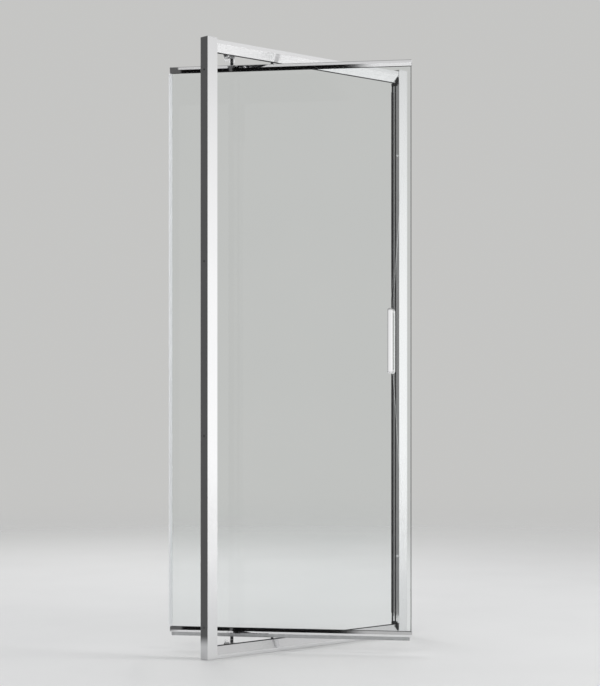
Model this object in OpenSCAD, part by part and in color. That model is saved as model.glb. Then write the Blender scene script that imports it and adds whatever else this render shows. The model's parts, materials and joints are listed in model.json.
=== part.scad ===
// Pivot shower door: a framed opening whose glass leaf swings out while it slides along,
// carried top and bottom by a crank arm and a shoe that runs in the rail's track.
// Millimetres. X runs along the doorway, from the hinge side to the strike side.
// -Y is outside, +Y is inside the shower, +Z is up.
// The origin is under the middle of the bottom rail.
// The leaf is drawn open by rest_angle.

/* [Frame] */
// Width over both jambs
frame_w = 880; // [780:10:1000]
// Height from the underside of the sill to the top of the jamb caps
frame_h = 1950; // [1800:10:2050]
// Depth of the jambs and rails, front to back
frame_d = 36; // [36:1:44]
// Width of a jamb's front face
jamb_w = 39; // [38:1:50]
// Thickness of the extrusions' walls
wall = 1.8; // [1.5:0.1:2.2]
// Thickness of a jamb's wall next to the opening
jamb_face_t = 5; // [4.5:0.5:6]
// Thickness of a jamb cap
cap_t = 3; // [2:0.5:5]
// Step from the top of a jamb down to the top rail
rail_step = 3; // [1:1:8]
// Height of a rail's face
rail_h = 38; // [38:1:46]
// Step back from a jamb's front to a rail's face
rail_set = 2.5; // [1:0.5:3]
// Height of the upright strip along a rail's outer edge
rail_lip = 12; // [10:1:16]
// How far a rail's face leans back at the opening
rail_lean = 11; // [8:0.5:11]

/* [Wall channels] */
// Width of a wall channel's flanges
channel_reach = 26; // [22:1:28]
// Play between a wall channel and the jamb around it
nest_play = 0.2; // [0.1:0.05:0.3]
// Diameter of the holes for the wall screws
wall_hole_d = 5.5; // [4:0.5:6]
// Distance of the outer wall holes from the channel's ends
wall_hole_end = 100; // [60:10:200]
// Distance of the inner wall holes from the channel's ends
wall_hole_mid = 700; // [500:10:800]
// Distance of the lower clamp screws from the jamb's lower end
clamp_end = 275; // [220:5:400]
// Distance between the two clamp screws of a jamb
clamp_pitch = 1380; // [1200:10:1400]

/* [Crank arms and track] */
// Distance between the two eyes of an arm, and from an eye to the shoe's pin
arm_len = 133; // [120:1:140]
// Distance of the fixed pivot from the hinge jamb
arm_inset = 78.5; // [70:0.5:90]
// Width of an arm's eyes
arm_w = 20; // [17:0.5:20]
// Width of an arm between its eyes
arm_waist = 18; // [14:0.5:19]
// Thickness of an arm
arm_t = 12; // [10:0.5:12.5]
// Distance from an arm's middle to the middle of its round rib
rib_off = 20; // [18:0.5:22]
// Diameter of the arms' round ribs
rib_d = 14; // [12:0.5:14]
// Diameter of the pins in the arms
pin_d = 8; // [6:0.5:8.5]
// Outer diameter of the bushes in the arms
bush_d = 12; // [11:0.5:13]
// Diameter of the pins in the shoes
shoe_pin_d = 6; // [4:0.5:6.5]
// Length of a shoe
shoe_len = 34; // [28:1:36]
// Width of the shoes' and blocks' heads in the track
track_head = 17; // [16:0.5:18]
// Width of the track's slot
slot_w = 11; // [10.5:0.5:12]
// Height of the box section that makes the track
track_h = 14; // [13:0.5:15]
// How far the door is open as drawn
rest_angle = 51; // [0:1:75]
// How far the door opens
open_max = 80; // [76:1:80]

/* [Leaf] */
// Gap between the leaf's hinge end and its jamb when it is shut
hinge_gap = 6.5; // [6.5:0.5:8]
// Gap between the leaf's free end and its jamb when it is shut
strike_gap = 3.5; // [3.5:0.5:6]
// Gap between the bottom rail and the leaf
gap_under = 10.5; // [8:0.5:14]
// Gap between the leaf and the top rail
gap_over = 6; // [5:0.5:10]
// Distance of the leaf's middle plane from the back of the frame
leaf_back = 12; // [11.5:0.25:12.25]
// Thickness of the leaf's rails
leaf_rail_t = 18; // [17:0.5:20]
// Height of the leaf's top rail
leaf_top_h = 19.5; // [19.5:0.5:28]
// Height of the leaf's bottom rail
leaf_bottom_h = 23.5; // [23:0.5:32]
// Height of the bevel along a leaf rail's glass edge
leaf_bevel = 10; // [5:0.5:11]
// Thickness of the glass
glass_t = 6; // [4:0.5:6.5]
// Thickness of the gasket around the glass
gasket_t = 1; // [0.8:0.1:1.2]
// How deep the glass and its gasket sit in a rail
glass_hold = 11; // [8:1:11]
// How far a gasket stands out of its rail
gasket_lip = 1; // [0.5:0.5:2.5]
// Length of a leaf rail's end cap
leaf_cap = 6; // [4:0.5:10]

/* [Seals] */
// How far the clear seal stands out past the hinge end of the leaf
hinge_seal_out = 6; // [4:0.25:6]
// How far the strike seal stands out from its jamb
strike_fin = 5.5; // [4:0.5:8]
// How far the seal on a rail's edge stands out past the rail
rail_seal_out = 3; // [1.5:0.5:3.5]
// How far the sweep hangs under the leaf
sweep_drop = 5; // [3:0.5:7]
// How far the end pads on the strike jamb reach past a rail's edge
pad_h = 10; // [6:1:10]
// Thickness of the end pads and of the strike seal's foot
pad_t = 2.5; // [1.5:0.5:2.5]

/* [Handle] */
// Length of the handle's bar
handle_len = 210; // [180:5:300]
// Distance of the handle's posts from its ends
post_inset = 10; // [8:1:30]
// Width of the handle's bar
handle_w = 18; // [14:1:22]
// Depth of the handle's bar
handle_t = 11; // [8:0.5:14]
// Gap for the fingers behind the bar
finger_gap = 25; // [20:1:40]
// Diameter of the handle's posts
post_d = 14; // [12:1:14]
// Height of the handle's middle above the sill's underside
handle_z = 1001; // [850:10:1200]
// Distance of the handle from the leaf's free end
handle_inset = 66; // [45:1:120]

/* [Hidden] */
$fn = 48;

// Fits and plays
run_play = 0.05;
press_play = 0.02;
side_play = 0.3;
slide_play = 0.4;
through = 1;

// Frame
front = -frame_d / 2;
back = frame_d / 2;
side = frame_w / 2;
opening = side - jamb_w;
jamb_len = frame_h - cap_t;
rail_top = jamb_len - rail_step;
rail_front = front + rail_set;
rail_edge_y = rail_front + rail_lean;

// Grooves in a jamb's face, from the front
groove_deep = 3;
pocket_deep = 6;
pocket_w = 7;
pocket_y = front + 15.2;
clamp_y = front + 9.5;
clamp_levels = [clamp_end, clamp_end + clamp_pitch];

// Nested wall channel, and what it holds
channel_wall = 1.6;
channel_half = frame_d / 2 - wall - nest_play;
channel_inner = channel_half - channel_wall;
wall_levels = [wall_hole_end, wall_hole_mid, jamb_len - wall_hole_mid, jamb_len - wall_hole_end];
clamp_shank_r = 2.5;
clamp_head_r = 5.5;
clamp_head_t = 2.4;
clamp_grip = 13;
clamp_shank_len = jamb_w - channel_reach + clamp_grip;
block_h = 24;
plug_deep = 10;
hex_r = 2;
hex_deep = 1.4;

// Screw port in the corner of a rail
port_r = 3.5;
port_screw_r = 1.9;
port_sunk = 0.5;
port_y = rail_front + wall + port_r - port_sunk;
port_q = wall + port_r - port_sunk;
rail_screw_head_r = 2.9;
rail_screw_head_t = 2.2;
rail_screw_len = 20;

// Levels in a rail, counted from its outer edge towards the opening
head_q = track_h - wall;
arm_over_track = 7;
arm_q = track_h + arm_over_track;
bush_out = 0.2;
bush_q = arm_q - bush_out;
bush_end_q = arm_q + arm_t + bush_out;
neck_q = bush_q - side_play;
low_neck_q = track_h + 2.5;
neck_w = slot_w - 2 * slide_play;
shoe_q = wall + 2 * side_play;
shoe_top_q = head_q - side_play;
shoe_cut = 2.5;
socket_q = wall + 2;
pin_root_q = socket_q + 1;
pin_r = pin_d / 2;
bush_r = bush_d / 2;
shoe_pin_r = shoe_pin_d / 2;
pin_head_r = pin_r + 2.5;
pin_head_t = 2;
spacer_wall = 1.2;
rib_from = 42;
rib_to = arm_len - 8;
rib_nose = 3;
rib_nose_in = 1.5;
web_from = arm_len - 42;
web_to = arm_len - 16;

// Linkage. The leaf's middle plane lies over the track when the door is shut
leaf_y = back - leaf_back;
pivot_x = -opening + arm_inset;
knuckle = arm_inset + arm_len - hinge_gap;
shoe_s = knuckle + arm_len;
knuckle_x = pivot_x + arm_len * cos(rest_angle);
knuckle_y = leaf_y + arm_len * sin(rest_angle);
shoe_x = pivot_x + 2 * arm_len * cos(rest_angle);
block_tail = 20;
stop_reach = 2 * arm_len * cos(open_max) - shoe_len / 2 - side_play;
shut_stop_x = pivot_x + 2 * arm_len + shoe_len / 2 + side_play;
shut_stop_len = 20;
set_screw_r = 2.5;
set_screw_len = 8;
set_hex_r = 1.4;
set_screw_out = 13;

// Leaf, along its own length from its hinge end, which is 0
leaf_w = 2 * opening - hinge_gap - strike_gap;
leaf_z0 = rail_h + gap_under;
leaf_z1 = rail_top - rail_h - gap_over;
leaf_slot = glass_t + 2 * gasket_t;
leaf_wall = 1.5;
leaf_lip = leaf_slot / 2 + leaf_wall;
leaf_foot_in = 1.6;
leaf_foot = leaf_rail_t / 2 - leaf_foot_in;
top_under = 2;
bottom_under = 8;
glass_s0 = 1;
glass_s1 = leaf_w - 3;
glass_z0 = leaf_z0 + leaf_bottom_h - glass_hold + gasket_t;
glass_z1 = leaf_z1 - leaf_top_h + glass_hold - gasket_t;
pane_z0 = leaf_z0 + leaf_bottom_h + gasket_lip;
pane_z1 = leaf_z1 - leaf_top_h - gasket_lip;
top_reach = rail_top - leaf_z1;
cap_foot = 0.5;
tail_len = 7;
clip_t = 1;
clip_r = pin_r + 2.5;

// Seals
seal_wall = 1;
hinge_seal_grip = 5;
rail_seal_t = 1.2;
rail_seal_leg = 3;
rail_seal_cut = 0.6;
strip_play = 0.1;
strip_deep = 4;
strip_sunk = 1.2;
edge_seal_t = 1.8;
sweep_t = 1.4;
sweep_root = 2;
sweep_in = 0.6;
sweep_y = -leaf_foot + sweep_in;
fin_t = 2;
fin_tip_r = 1.2;
fin_back = 1.8;
fin_y = back - fin_back - fin_t;
seal_root_w = 3;
seal_root_play = 0.1;
seal_root_y = fin_y + fin_t / 2 - seal_root_w / 2;
seal_foot_w = 5;
fin_end_play = 4;
pad_front = front + 4;
pad_step = 6;
pad_from_q = 20;

// Handle
handle_s = leaf_w - handle_inset;
edge_r = 4;
stud_r = 3;
stud_grip = 15;
washer_t = 1;
washer_r = post_d / 2 + 1;
glass_hole_r = 6;
sleeve_r = glass_hole_r - 0.1;

CHROME = "silver";
ALUMINIUM = "gainsboro";
BLACK = [0.12, 0.12, 0.13];
NYLON = "whitesmoke";
CLEAR = [0.85, 0.92, 0.95, 0.6];
STEEL = "darkgray";

// A flat bar with round ends, from the first centre along X
module round_bar(len, w, t) {
    linear_extrude(t) union() {
        circle(d = w);
        translate([len, 0]) circle(d = w);
        translate([0, -w / 2]) square([len, w]);
    }
}

// A ring on the Z axis
module ring(outer_r, inner_r, t) {
    difference() {
        cylinder(r = outer_r, h = t);
        translate([0, 0, -through]) cylinder(r = inner_r, h = t + 2 * through);
    }
}

// A section drawn in Y and Z, drawn out along X
module along_x(x0, x1) {
    translate([x0, 0, 0]) rotate([90, 0, 90]) linear_extrude(x1 - x0) children();
}

// The bottom rail's parts turned over, so that they stand in the top rail
module top_side() {
    translate([0, 0, rail_top]) mirror([0, 0, 1]) children();
}

// The hinge side's parts swapped over to the strike side
module strike_side() {
    mirror([1, 0, 0]) children();
}

// The leaf, drawn flat from its hinge end, hung open on its knuckle pins
module hang() {
    translate([knuckle_x, knuckle_y, 0]) rotate([0, 0, -rest_angle]) translate([-knuckle, 0, 0]) children();
}

// Jamb: a channel that opens towards the wall, with a deep groove in its face
module jamb_section(seal_groove) {
    difference() {
        union() {
            difference() {
                translate([-side, front]) square([jamb_w, frame_d]);
                translate([-side - through, front + wall])
                    square([jamb_w - jamb_face_t + through, frame_d - 2 * wall]);
            }
            translate([-opening - pocket_deep - wall, pocket_y - wall])
                square([pocket_deep, pocket_w + 2 * wall]);
        }
        translate([-opening - pocket_deep, pocket_y]) square([pocket_deep + through, pocket_w]);
        if (seal_groove)
            translate([-opening - groove_deep, seal_root_y - seal_root_play])
                square([groove_deep + through, seal_root_w + 2 * seal_root_play]);
    }
}

// A hole along X through the jamb's face
module face_hole(y, z, r) {
    translate([-opening - jamb_face_t - through, y, z])
        rotate([0, 90, 0]) cylinder(r = r, h = jamb_face_t + 2 * through);
}

module jamb(seal_groove) {
    difference() {
        linear_extrude(jamb_len) jamb_section(seal_groove);
        for (z = clamp_levels) face_hole(clamp_y, z, clamp_shank_r + side_play);
        for (z = [port_q, rail_top - port_q]) face_hole(port_y, z, port_screw_r + side_play);
    }
}

module jamb_hinge() {
    color(ALUMINIUM) jamb(false);
}

module jamb_strike() {
    color(ALUMINIUM) strike_side() jamb(true);
}

module wall_channel() {
    difference() {
        translate([-side, -channel_half, 0]) cube([channel_reach, 2 * channel_half, jamb_len]);
        translate([-side + wall, -channel_inner, -through])
            cube([channel_reach, 2 * channel_inner, jamb_len + 2 * through]);
        for (z = wall_levels)
            translate([-side - through, 0, z])
                rotate([0, 90, 0]) cylinder(d = wall_hole_d, h = wall + 2 * through);
    }
}

module wall_channel_hinge() {
    color(ALUMINIUM) wall_channel();
}

module wall_channel_strike() {
    color(ALUMINIUM) strike_side() wall_channel();
}

module jamb_cap() {
    translate([-side, front, jamb_len]) cube([jamb_w, frame_d, cap_t]);
    translate([-side + wall + nest_play, -channel_inner + nest_play, jamb_len - plug_deep])
        cube([channel_reach - wall, 2 * (channel_inner - nest_play), plug_deep]);
}

module jamb_caps() {
    color(CHROME) {
        jamb_cap();
        strike_side() jamb_cap();
    }
}

// The block in the wall channel that a clamp screw pulls on
module clamp_block(z) {
    difference() {
        translate([-side + wall, -channel_inner, z - block_h / 2])
            cube([channel_reach - wall, 2 * channel_inner, block_h]);
        translate([-side, clamp_y, z])
            rotate([0, 90, 0]) cylinder(r = clamp_shank_r + run_play, h = channel_reach + through);
    }
}

module clamp_blocks() {
    color(NYLON) for (z = clamp_levels) {
        clamp_block(z);
        strike_side() clamp_block(z);
    }
}

module clamp_screw(z) {
    translate([-opening, clamp_y, z]) rotate([0, -90, 0]) {
        cylinder(r = clamp_shank_r, h = clamp_shank_len);
        difference() {
            translate([0, 0, -clamp_head_t]) cylinder(r = clamp_head_r, h = clamp_head_t);
            translate([0, 0, -clamp_head_t - through]) cylinder(r = hex_r, h = through + hex_deep, $fn = 6);
        }
    }
}

module clamp_screws() {
    color(STEEL) for (z = clamp_levels) {
        clamp_screw(z);
        strike_side() clamp_screw(z);
    }
}

// Rail: a leaning face, a box that makes the track, and a port for the corner screw.
// Drawn from the outer edge, which is 0, towards the opening
module rail_section() {
    difference() {
        union() {
            polygon([[rail_front, 0], [rail_front + wall, 0], [rail_front + wall, rail_lip],
                [rail_edge_y + wall, rail_h], [rail_edge_y, rail_h], [rail_front, rail_lip]]);
            translate([rail_front, 0]) square([back - rail_front, wall]);
            translate([back - wall, 0]) square([wall, track_h]);
            track_floor();
            translate([port_y, port_q]) circle(r = port_r);
        }
        translate([leaf_y - slot_w / 2, head_q - through]) square([slot_w, wall + 2 * through]);
        translate([port_y, port_q]) circle(r = port_screw_r + run_play);
    }
}

// The floor of the track, from the rail's face to its back wall, cut by the slot
module track_floor() {
    face_at_floor = rail_front + rail_lean * max(0, head_q - rail_lip) / (rail_h - rail_lip);
    polygon([[face_at_floor + wall / 2, head_q], [back, head_q], [back, track_h],
        [face_at_floor + wall / 2, track_h]]);
}

module rail() {
    along_x(-opening, opening) rail_section();
}

module bottom_rail() {
    color(ALUMINIUM) rail();
}

module top_rail() {
    color(ALUMINIUM) top_side() rail();
}

module rail_screw() {
    translate([-opening - jamb_face_t, port_y, port_q]) rotate([0, 90, 0]) {
        cylinder(r = port_screw_r, h = jamb_face_t + rail_screw_len);
        translate([0, 0, -rail_screw_head_t]) cylinder(r = rail_screw_head_r, h = rail_screw_head_t);
    }
}

module rail_screws() {
    color(STEEL) {
        rail_screw();
        strike_side() rail_screw();
        top_side() rail_screw();
        top_side() strike_side() rail_screw();
    }
}

// A block clamped in the track, its head pressed to the track's floor by set screws
module track_block(x0, x1, top_q, screws) {
    difference() {
        union() {
            translate([x0, leaf_y - track_head / 2, wall + slide_play])
                cube([x1 - x0, track_head, head_q - wall - slide_play]);
            translate([x0, leaf_y - neck_w / 2, head_q - through])
                cube([x1 - x0, neck_w, top_q - head_q + through]);
        }
        for (x = screws)
            translate([x, leaf_y, wall]) cylinder(r = set_screw_r + run_play, h = neck_q);
    }
}

pivot_screws = [pivot_x - set_screw_out, pivot_x + set_screw_out];
stop_screw = shut_stop_x + shut_stop_len / 2;

module pivot_block() {
    difference() {
        track_block(pivot_x - block_tail, pivot_x + stop_reach, neck_q, pivot_screws);
        translate([pivot_x, leaf_y, socket_q]) cylinder(r = pin_r + press_play, h = neck_q);
    }
}

module lower_pivot_block() {
    color(STEEL) pivot_block();
}

module upper_pivot_block() {
    color(STEEL) top_side() pivot_block();
}

module track_stop() {
    track_block(shut_stop_x, shut_stop_x + shut_stop_len, low_neck_q, [stop_screw]);
}

module track_stops() {
    color(BLACK) {
        track_stop();
        top_side() track_stop();
    }
}

module set_screw_row() {
    for (x = concat(pivot_screws, [stop_screw]))
        translate([x, leaf_y, wall]) difference() {
            cylinder(r = set_screw_r, h = set_screw_len);
            translate([0, 0, set_screw_len - hex_deep])
                cylinder(r = set_hex_r, h = hex_deep + through, $fn = 6);
        }
}

module set_screws() {
    color(BLACK) {
        set_screw_row();
        top_side() set_screw_row();
    }
}

// The fixed pin that an arm turns on, headed under the arm
module pivot_pin() {
    translate([pivot_x, leaf_y, 0]) difference() {
        union() {
            translate([0, 0, pin_root_q]) cylinder(r = pin_r, h = bush_end_q + side_play - pin_root_q);
            translate([0, 0, bush_end_q + side_play]) cylinder(r = pin_head_r, h = pin_head_t);
        }
        translate([0, 0, bush_end_q + side_play + pin_head_t - hex_deep])
            cylinder(r = hex_r, h = hex_deep + through, $fn = 6);
    }
}

module lower_pivot_pin() {
    color(STEEL) pivot_pin();
}

module upper_pivot_pin() {
    color(STEEL) top_side() pivot_pin();
}

// Put something drawn along X at the arm's place, as it lies in the drawn pose
module at_arm(z) {
    translate([pivot_x, leaf_y, z]) rotate([0, 0, rest_angle]) children();
}

// The round rib cast along an arm's inner side, and the web that joins them
module arm_rib() {
    rib_r = rib_d / 2;
    translate([rib_from, rib_off, arm_t / 2]) rotate([0, 90, 0]) {
        cylinder(r = rib_r - rib_nose_in, h = rib_nose + through);
        translate([0, 0, rib_nose]) cylinder(r = rib_r, h = rib_to - rib_from - rib_nose);
    }
    translate([web_from, 0, arm_t / 4]) cube([web_to - web_from, rib_off, arm_t / 2]);
}

module arm() {
    at_arm(arm_q) difference() {
        union() {
            round_bar(arm_len, arm_waist, arm_t);
            cylinder(d = arm_w, h = arm_t);
            translate([arm_len, 0, 0]) cylinder(d = arm_w, h = arm_t);
            arm_rib();
        }
        for (x = [0, arm_len])
            translate([x, 0, -through]) cylinder(r = bush_r + press_play, h = arm_t + 2 * through);
    }
}

module arm_bushes() {
    at_arm(bush_q) for (x = [0, arm_len])
        translate([x, 0, 0]) ring(bush_r, pin_r + run_play, bush_end_q - bush_q);
}

module lower_arm() {
    color(CHROME) arm();
}

module upper_arm() {
    color(CHROME) top_side() arm();
}

module lower_arm_bushes() {
    color(NYLON) arm_bushes();
}

module upper_arm_bushes() {
    color(NYLON) top_side() arm_bushes();
}

// A shoe's outline, with its corners cut off
module shoe_plan(w) {
    x = shoe_len / 2;
    y = w / 2;
    cut = shoe_cut;
    polygon([[cut - x, -y], [x - cut, -y], [x, cut - y], [x, y - cut], [x - cut, y], [cut - x, y],
        [-x, y - cut], [-x, cut - y]]);
}

// The shoe that the leaf slides on, caught in the track by its head
module shoe() {
    translate([shoe_x, leaf_y, 0]) difference() {
        union() {
            translate([0, 0, shoe_q]) linear_extrude(shoe_top_q - shoe_q) shoe_plan(track_head);
            translate([0, 0, shoe_top_q - through])
                linear_extrude(low_neck_q - shoe_top_q + through) shoe_plan(neck_w);
        }
        translate([0, 0, socket_q]) cylinder(r = shoe_pin_r + run_play, h = low_neck_q);
    }
}

module lower_shoe() {
    color(NYLON) shoe();
}

module upper_shoe() {
    color(NYLON) top_side() shoe();
}

// Leaf rail, from its outer edge, which is 0, up to the glass
module leaf_rail_section(h, under) {
    half = leaf_rail_t / 2;
    difference() {
        polygon([[-leaf_foot, 0], [leaf_foot, 0], [half, under], [half, h - leaf_bevel], [leaf_lip, h],
            [-leaf_lip, h], [-half, h - leaf_bevel], [-half, under]]);
        translate([-leaf_slot / 2, h - glass_hold]) square([leaf_slot, glass_hold + through]);
    }
}

// Holes in a leaf rail's outer edge for the knuckle pin and the shoe's pin
module pin_holes() {
    for (s = [knuckle, shoe_s])
        translate([s, 0, -through]) cylinder(r = pin_r + press_play, h = tail_len + through);
}

module leaf_bottom_rail() {
    color(CHROME) hang() translate([0, 0, leaf_z0]) difference() {
        along_x(leaf_cap, leaf_w - leaf_cap) leaf_rail_section(leaf_bottom_h, bottom_under);
        pin_holes();
        translate([0, sweep_y, -through]) cube([leaf_w, sweep_t, sweep_root + through]);
    }
}

module leaf_top_rail() {
    color(CHROME) hang() translate([0, 0, leaf_z1]) mirror([0, 0, 1]) difference() {
        along_x(leaf_cap, leaf_w - leaf_cap) leaf_rail_section(leaf_top_h, top_under);
        pin_holes();
    }
}

module leaf_top_caps() {
    color(CHROME) hang() translate([0, 0, leaf_z1]) mirror([0, 0, 1])
        for (s = [0, leaf_w - leaf_cap]) along_x(s, s + leaf_cap) leaf_rail_section(leaf_top_h, top_under);
}

// The bottom caps' lower corners are cut off at a slant
module leaf_bottom_cap() {
    difference() {
        along_x(0, leaf_cap) leaf_rail_section(leaf_bottom_h, bottom_under);
        rotate([90, 0, 0]) translate([0, 0, -leaf_rail_t]) linear_extrude(2 * leaf_rail_t)
            polygon([[-through, -through], [leaf_cap - cap_foot, -through], [leaf_cap - cap_foot, 0],
                [0, bottom_under], [-through, bottom_under]]);
    }
}

module leaf_bottom_caps() {
    color(CHROME) hang() translate([0, 0, leaf_z0]) {
        leaf_bottom_cap();
        translate([leaf_w, 0, 0]) mirror([1, 0, 0]) leaf_bottom_cap();
    }
}

// The gasket that wraps the glass in a rail's slot
module gasket() {
    deep = glass_hold + gasket_lip;
    along_x(glass_s0, glass_s1) difference() {
        translate([-leaf_slot / 2, 0]) square([leaf_slot, deep]);
        translate([-glass_t / 2, gasket_t]) square([glass_t, deep]);
    }
}

module bottom_gasket() {
    color(BLACK) hang() translate([0, 0, leaf_z0 + leaf_bottom_h - glass_hold]) gasket();
}

module top_gasket() {
    color(BLACK) hang() translate([0, 0, leaf_z1 - leaf_top_h + glass_hold]) mirror([0, 0, 1]) gasket();
}

// Heights of the handle's two fixings
post_levels = [handle_z - handle_len / 2 + post_inset, handle_z + handle_len / 2 - post_inset];

// Something drawn on the Z axis, laid across the glass at each handle fixing
module across_glass(y) {
    for (z = post_levels) translate([handle_s, y, z]) rotate([-90, 0, 0]) children();
}

module glass() {
    color(CLEAR) hang() difference() {
        translate([glass_s0, -glass_t / 2, glass_z0]) cube([glass_s1 - glass_s0, glass_t, glass_z1 - glass_z0]);
        across_glass(-glass_t) cylinder(r = glass_hole_r, h = 2 * glass_t);
    }
}

// Clear seal clipped on the hinge edge of the glass
module hinge_side_seal() {
    half = glass_t / 2 + seal_wall;
    color(CLEAR) hang() translate([0, 0, pane_z0]) linear_extrude(pane_z1 - pane_z0) {
        difference() {
            translate([glass_s0 - seal_wall, -half]) square([hinge_seal_grip + seal_wall, 2 * half]);
            translate([glass_s0, -glass_t / 2]) square([hinge_seal_grip + through, glass_t]);
        }
        translate([seal_wall - hinge_seal_out, 0]) circle(r = seal_wall);
        translate([seal_wall - hinge_seal_out, -seal_wall])
            square([hinge_seal_out - seal_wall / 2, 2 * seal_wall]);
    }
}

// Dark strip along the glass's free edge
module free_edge_seal() {
    color(BLACK) hang() translate([glass_s1, -glass_t / 2, pane_z0])
        cube([edge_seal_t, glass_t, pane_z1 - pane_z0]);
}

module sweep_seal() {
    color(CLEAR) hang() translate([leaf_cap, sweep_y, leaf_z0 - sweep_drop])
        cube([leaf_w - 2 * leaf_cap, sweep_t, sweep_drop + sweep_root]);
}

// The pin that joins an arm's far eye to the leaf, whose edge lies at reach
module leaf_pin(reach) {
    translate([knuckle, 0, neck_q - clip_t - side_play])
        cylinder(r = pin_r, h = reach + tail_len - neck_q + clip_t + side_play);
}

module lower_leaf_pin() {
    color(STEEL) hang() leaf_pin(leaf_z0);
}

module upper_leaf_pin() {
    color(STEEL) hang() top_side() leaf_pin(top_reach);
}

module pin_clip() {
    translate([knuckle, 0, neck_q - clip_t]) ring(clip_r, pin_r, clip_t);
}

module pin_clips() {
    color(STEEL) hang() {
        pin_clip();
        top_side() pin_clip();
    }
}

// The pin that a shoe turns on
module shoe_pin(reach) {
    translate([shoe_s, 0, 0]) {
        translate([0, 0, pin_root_q]) cylinder(r = shoe_pin_r, h = reach - pin_root_q + through);
        translate([0, 0, reach]) cylinder(r = pin_r, h = tail_len);
    }
}

module lower_shoe_pin() {
    color(STEEL) hang() shoe_pin(leaf_z0);
}

module upper_shoe_pin() {
    color(STEEL) hang() top_side() shoe_pin(top_reach);
}

// The black spacers on the pins, which hold the leaf off the arm and the shoe
module spacer_pair(reach) {
    translate([knuckle, 0, bush_end_q + side_play])
        ring(pin_r + spacer_wall, pin_r + run_play, reach - bush_end_q - side_play);
    translate([shoe_s, 0, low_neck_q + side_play])
        ring(shoe_pin_r + spacer_wall, shoe_pin_r + run_play, reach - low_neck_q - side_play);
}

module pin_spacers() {
    color(BLACK) hang() {
        spacer_pair(leaf_z0);
        top_side() spacer_pair(top_reach);
    }
}

// Seal along a rail's edge: a leg behind the face and a bead over the edge
module rail_edge_seal() {
    inner_y = rail_edge_y + wall;
    leg_y = inner_y - rail_lean * rail_seal_leg / (rail_h - rail_lip);
    bead_q = rail_h + rail_seal_out;
    along_x(-opening, opening - pad_t)
        polygon([[rail_edge_y, rail_h], [inner_y, rail_h], [leg_y, rail_h - rail_seal_leg],
            [leg_y + rail_seal_t, rail_h - rail_seal_leg], [inner_y + rail_seal_t, rail_h],
            [inner_y + rail_seal_t, bead_q - rail_seal_cut], [inner_y + rail_seal_t - rail_seal_cut, bead_q],
            [rail_edge_y + rail_seal_cut, bead_q], [rail_edge_y, bead_q - rail_seal_cut]]);
}

module rail_edge_seals() {
    color(BLACK) {
        rail_edge_seal();
        top_side() rail_edge_seal();
    }
}

// Dark strip that fills the deep groove in a jamb's face
module groove_strip() {
    translate([-opening - strip_sunk - strip_deep, pocket_y + strip_play, 0])
        cube([strip_deep, pocket_w - 2 * strip_play, jamb_len]);
}

module groove_strips() {
    color(BLACK) {
        groove_strip();
        strike_side() groove_strip();
    }
}

// Strike seal, at the back of the jamb's face: a root in its groove and a foot from pad to pad,
// and a fin between the leaf's rails that stops splashes behind the shut glass
module strike_seal() {
    pad_end = rail_h + pad_h;
    fin_z0 = pane_z0 + fin_end_play;
    fin_z1 = pane_z1 - fin_end_play;
    color(BLACK) {
        translate([0, 0, pad_end]) linear_extrude(rail_top - 2 * pad_end) {
            translate([opening, seal_root_y]) square([groove_deep, seal_root_w]);
            translate([opening - pad_t, fin_y + fin_t / 2 - seal_foot_w / 2]) square([pad_t, seal_foot_w]);
        }
        translate([0, 0, fin_z0]) linear_extrude(fin_z1 - fin_z0) {
            translate([opening - strike_fin + fin_tip_r, fin_y + fin_t / 2]) circle(r = fin_tip_r);
            translate([opening - strike_fin + fin_tip_r, fin_y]) square([strike_fin - fin_tip_r, fin_t]);
        }
    }
}

// Pads on the strike jamb, in front of a rail's slanted end and along its edge
module end_pad() {
    along_x(opening - pad_t, opening) difference() {
        polygon([[pad_front, pad_from_q], [rail_edge_y, pad_from_q], [rail_edge_y, rail_h], [back, rail_h],
            [back, rail_h + pad_h], [pad_front + pad_step, rail_h + pad_h],
            [pad_front + pad_step, rail_h + through], [pad_front, rail_h + through]]);
        polygon([[rail_front, 0], [rail_edge_y + through, 0], [rail_edge_y + through, rail_h],
            [rail_edge_y, rail_h], [rail_front, rail_lip]]);
    }
}

module end_pads() {
    color(BLACK) {
        end_pad();
        top_side() end_pad();
    }
}

// The handle's bar in plan, with rounded edges
module bar_plan() {
    x = handle_w / 2 - edge_r;
    y = handle_t / 2 - edge_r;
    square([handle_w - 2 * edge_r, handle_t], center = true);
    square([handle_w, handle_t - 2 * edge_r], center = true);
    for (sx = [-1, 1], sy = [-1, 1]) translate([sx * x, sy * y]) circle(r = edge_r);
}

// Handle, outside the glass, whose face is at Y 0
module handle() {
    bar_y = -washer_t - finger_gap - handle_t / 2;
    translate([0, bar_y, handle_z]) intersection() {
        translate([0, 0, -handle_len / 2]) linear_extrude(handle_len) bar_plan();
        translate([0, handle_t / 2, -(handle_len - handle_w) / 2]) rotate([90, -90, 0])
            round_bar(handle_len - handle_w, handle_w, handle_t);
    }
    for (z = post_levels) translate([0, -washer_t, z]) rotate([90, 0, 0]) difference() {
        cylinder(d = post_d, h = finger_gap + edge_r / 2);
        translate([0, 0, -through]) cylinder(r = stud_r + run_play, h = stud_grip + 2 * through);
    }
}

module outer_handle() {
    color(CHROME) hang() translate([handle_s, -glass_t / 2, 0]) handle();
}

module inner_handle() {
    color(CHROME) hang() translate([handle_s, glass_t / 2, 0]) mirror([0, 1, 0]) handle();
}

module handle_studs() {
    reach = glass_t / 2 + washer_t + stud_grip;
    color(STEEL) hang() across_glass(-reach) cylinder(r = stud_r, h = 2 * reach);
}

module handle_sleeves() {
    color(NYLON) hang() across_glass(-glass_t / 2) ring(sleeve_r, stud_r + run_play, glass_t);
}

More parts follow.
